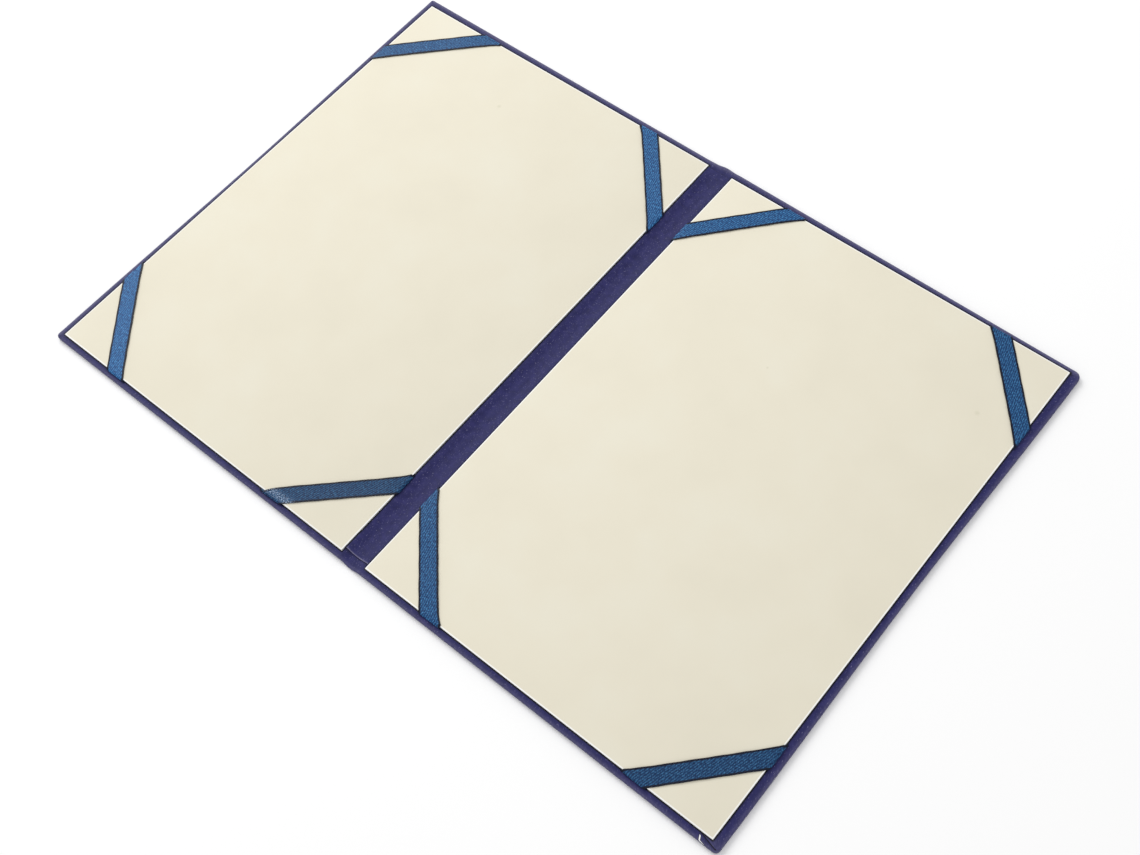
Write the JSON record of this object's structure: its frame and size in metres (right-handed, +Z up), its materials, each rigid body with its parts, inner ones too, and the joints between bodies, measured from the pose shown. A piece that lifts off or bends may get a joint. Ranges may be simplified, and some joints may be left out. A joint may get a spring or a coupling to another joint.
{
  "type": "diploma cover",
  "caption": "Stiff cloth-covered diploma cover with a soft spine, lying open. Each cream-lined cover has a ribbon over each corner to hold a sheet.",
  "frame": {"origin": "under the middle of the spine, on the surface the open cover lies on", "axes": "+X across the open cover towards the back cover, +Y along the spine to the head, +Z up out of the inside of the cover"},
  "size_m": [0.456, 0.3132, 0.0042],
  "materials": {
    "leatherette_cloth": "coated bookcloth, navy with a faint violet cast, fine grain, low sheen",
    "greyboard": "raw binder's board",
    "cream_card": "smooth uncoated cream card",
    "woven_ribbon": "blue herringbone tape with dark selvages"
  },
  "bodies": {
    "back_cover": {"back_cover_cloth": "leatherette_cloth", "back_board": "greyboard", "back_hinge_strip": "leatherette_cloth", "back_lining_card": "cream_card", "back_head_spine_ribbon": "woven_ribbon", "back_tail_spine_ribbon": "woven_ribbon", "back_tail_fore_ribbon": "woven_ribbon", "back_head_fore_ribbon": "woven_ribbon"},
    "spine": {"spine_cloth": "leatherette_cloth", "spine_hinge_strip": "leatherette_cloth"},
    "front_cover": {"front_cover_cloth": "leatherette_cloth", "front_board": "greyboard", "front_hinge_strip": "leatherette_cloth", "front_lining_card": "cream_card", "front_head_fore_ribbon": "woven_ribbon", "front_tail_fore_ribbon": "woven_ribbon", "front_head_spine_ribbon": "woven_ribbon", "front_tail_spine_ribbon": "woven_ribbon"}
  },
  "joints": [
    {"name": "back_hinge", "type": "hinge", "parent": "back_cover", "child": "spine", "pos_m": [0.0048, 0, 0.0004], "axis": [0, 1, 0], "range_deg": [0, 90]},
    {"name": "front_hinge", "type": "hinge", "parent": "spine", "child": "front_cover", "pos_m": [-0.0048, 0, 0.0004], "axis": [0, 1, 0], "range_deg": [0, 90]}
  ]
}
